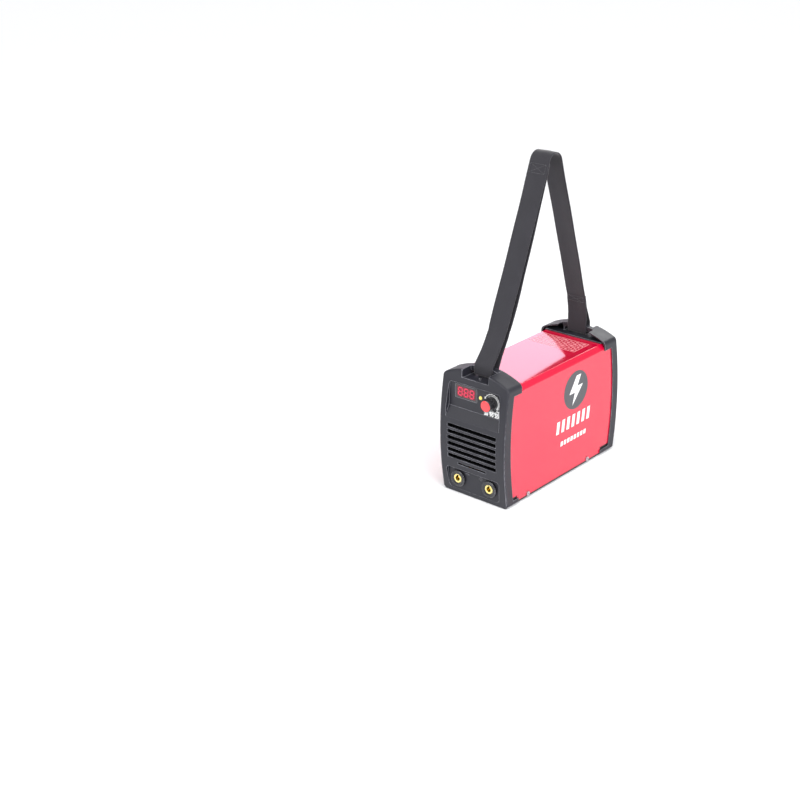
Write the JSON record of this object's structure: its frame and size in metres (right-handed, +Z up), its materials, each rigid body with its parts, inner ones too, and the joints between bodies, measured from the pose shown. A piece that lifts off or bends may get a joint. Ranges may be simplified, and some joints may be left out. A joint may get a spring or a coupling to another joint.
{
  "type": "tig welder",
  "caption": "Portable inverter arc and TIG welder: red folded cover, black arched bezels, louvred face with display, dial and two output sockets, carried by a webbing shoulder strap.",
  "frame": {"origin": "on the floor, below the middle of the case", "axes": "+Z up, the dial, display and output sockets face -Y, the mains switch and fan face +Y, +X is to the right of someone facing the dial"},
  "size_m": [0.134, 0.3392, 0.5456],
  "materials": {
    "bezel_plastic": "satin moulded",
    "red_paint": "gloss powder coat",
    "tray_steel": "satin black",
    "screw_steel": "zinc plated",
    "socket_plastic": "moulded",
    "socket_brass": "turned",
    "copper": "bare copper bar",
    "window": "dark red acrylic",
    "display": "display face",
    "circuit_board": "solder mask",
    "nylon": "natural nylon",
    "lamp": "yellow lens",
    "knob_black": "gloss moulded",
    "knob_red": "gloss moulded",
    "shaft_steel": "turned",
    "fan_plastic": "moulded",
    "switch_plastic": "moulded",
    "rocker_plastic": "gloss moulded",
    "gland_nylon": "moulded nylon",
    "filter_foam": "open foam",
    "seal_rubber": "matt",
    "heatsink_metal": "extruded",
    "package_black": "moulded epoxy",
    "capacitor_sleeve": "shrink sleeve",
    "resistor_ceramic": "cement",
    "ferrite": "sintered ferrite",
    "winding_tape": "polyester tape",
    "enamelled_copper": "enamelled wire",
    "webbing": "woven polyester webbing"
  },
  "bodies": {
    "machine": {"front_bezel": "bezel_plastic", "rear_bezel": "bezel_plastic", "cover": "red_paint", "base_tray": "tray_steel", "arch_screw": "screw_steel", "cover_screws": "screw_steel", "foot_screws": "screw_steel", "fan_screws": "screw_steel", "board_screws": "screw_steel", "potentiometer_nut": "screw_steel", "socket_minus_nut": "screw_steel", "socket_plus_nut": "screw_steel", "earth_stud": "screw_steel", "earth_washer": "screw_steel", "earth_nut": "screw_steel", "socket_minus_shell": "socket_plastic", "socket_plus_shell": "socket_plastic", "socket_minus_locknut": "socket_plastic", "socket_plus_locknut": "socket_plastic", "socket_minus_insert": "socket_brass", "socket_plus_insert": "socket_brass", "board_posts": "socket_brass", "output_bar_minus": "copper", "output_bar_plus": "copper", "display_window": "window", "display_module": "display", "display_board": "circuit_board", "main_board": "circuit_board", "control_board": "circuit_board", "display_posts": "nylon", "heatsink_posts": "nylon", "indicator_led": "lamp", "potentiometer": "shaft_steel", "fan_frame": "fan_plastic", "power_switch_housing": "switch_plastic", "gland_body": "gland_nylon", "gland_dome_nut": "gland_nylon", "gland_locknut": "gland_nylon", "air_filter": "filter_foam", "gland_seal": "seal_rubber", "heatsink_left": "heatsink_metal", "heatsink_right": "heatsink_metal", "power_transistors": "package_black", "output_diodes": "package_black", "control_chips": "package_black", "start_relay": "package_black", "bridge_rectifier": "package_black", "bulk_capacitors": "capacitor_sleeve", "start_resistor": "resistor_ceramic", "transformer_core": "ferrite", "choke_core": "ferrite", "transformer_winding": "winding_tape", "auxiliary_transformer": "winding_tape", "choke_winding": "enamelled_copper", "shoulder_strap": "webbing"},
    "current_knob": {"knob_body": "knob_black", "knob_cap": "knob_red", "knob_shaft": "shaft_steel"},
    "fan_rotor": {"fan_impeller": "fan_plastic"},
    "rocker": {"power_rocker": "rocker_plastic"}
  },
  "joints": [
    {"name": "current_knob_turn", "type": "hinge", "parent": "machine", "child": "current_knob", "pos_m": [0.0345, -0.151, 0.1802], "axis": [0, -1, 0], "range_deg": [-150, 150]},
    {"name": "fan_spin", "type": "hinge", "parent": "machine", "child": "fan_rotor", "pos_m": [0, 0.1353, 0.095], "axis": [0, 1, 0], "continuous": true},
    {"name": "power_rocker_tip", "type": "hinge", "parent": "machine", "child": "rocker", "pos_m": [0, 0.152, 0.172], "axis": [1, 0, 0], "range_deg": [0, 20]}
  ]
}
